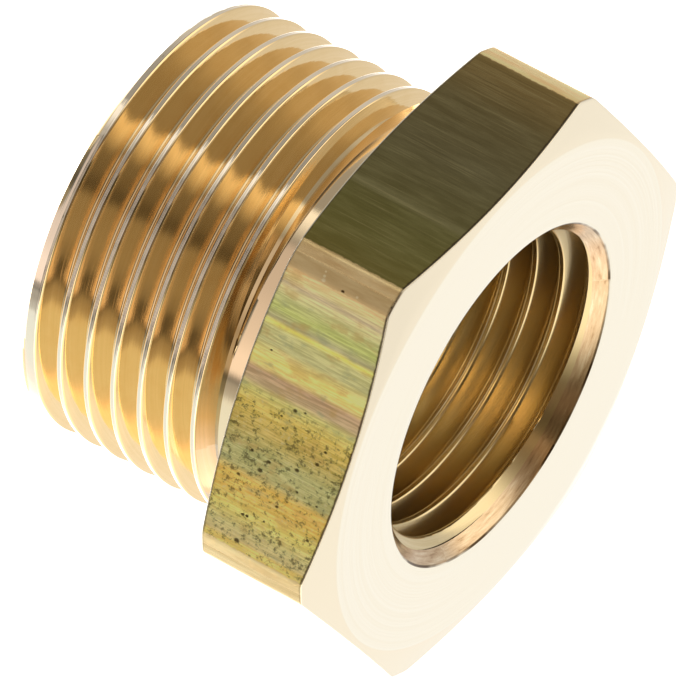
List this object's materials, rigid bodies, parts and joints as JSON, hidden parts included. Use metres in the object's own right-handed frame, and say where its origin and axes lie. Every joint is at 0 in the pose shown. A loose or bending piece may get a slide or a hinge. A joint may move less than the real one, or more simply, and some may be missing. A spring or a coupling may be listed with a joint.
{
  "type": "hex bushing",
  "caption": "Brass hex reducing bushing with a male pipe thread, a relief groove and a smaller female pipe thread through the hexagon.",
  "frame": {"origin": "centre of the spigot's free end face", "axes": "+Z along the axis, from the spigot's free end to the hexagon's face; +Y towards a flat of the hexagon"},
  "size_m": [0.0364, 0.032, 0.0235],
  "materials": {
    "brass": "satin"
  },
  "bodies": {
    "root": {"hex_bushing": "brass"}
  },
  "joints": []
}
